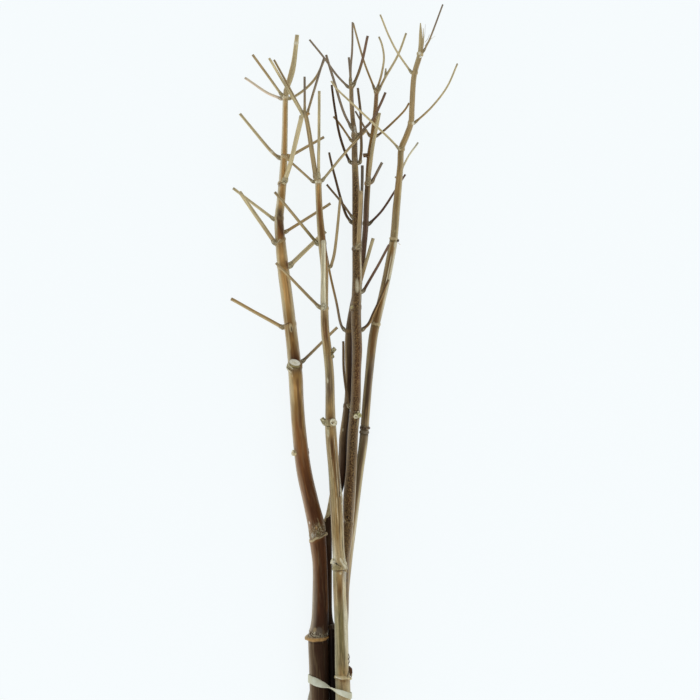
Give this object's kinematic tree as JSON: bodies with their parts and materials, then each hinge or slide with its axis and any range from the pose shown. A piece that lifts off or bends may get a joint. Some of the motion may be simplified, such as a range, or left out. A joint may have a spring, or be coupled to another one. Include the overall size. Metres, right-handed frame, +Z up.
{
  "type": "dried stem bunch",
  "caption": "Bunch of dried, jointed plant stems with trimmed side branches, tied near the foot with a flat rubber band, lying down for display.",
  "frame": {"origin": "centre of the part's bounding box, on the surface that it lies on", "axes": "+Y along the stems from their cut ends to their tips, +Z up from the surface, +X the bunch's right seen from above"},
  "size_m": [0.2279, 0.7743, 0.0636],
  "materials": {
    "golden_bark": "satin, golden tan above and reddish brown below",
    "pale_bark": "matt, pale olive tan with brown streaks",
    "mottled_bark": "matt, dark brown with pale specks",
    "dark_bark": "matt, dark purplish brown",
    "olive_bark": "satin, olive tan",
    "rubber_band": "matt, pale greenish cream"
  },
  "bodies": {
    "root": {"stem_left": "golden_bark", "stem_front": "pale_bark", "stem_mottled": "mottled_bark", "stem_dark": "dark_bark", "stem_right": "olive_bark", "tie_band": "rubber_band"}
  },
  "joints": []
}
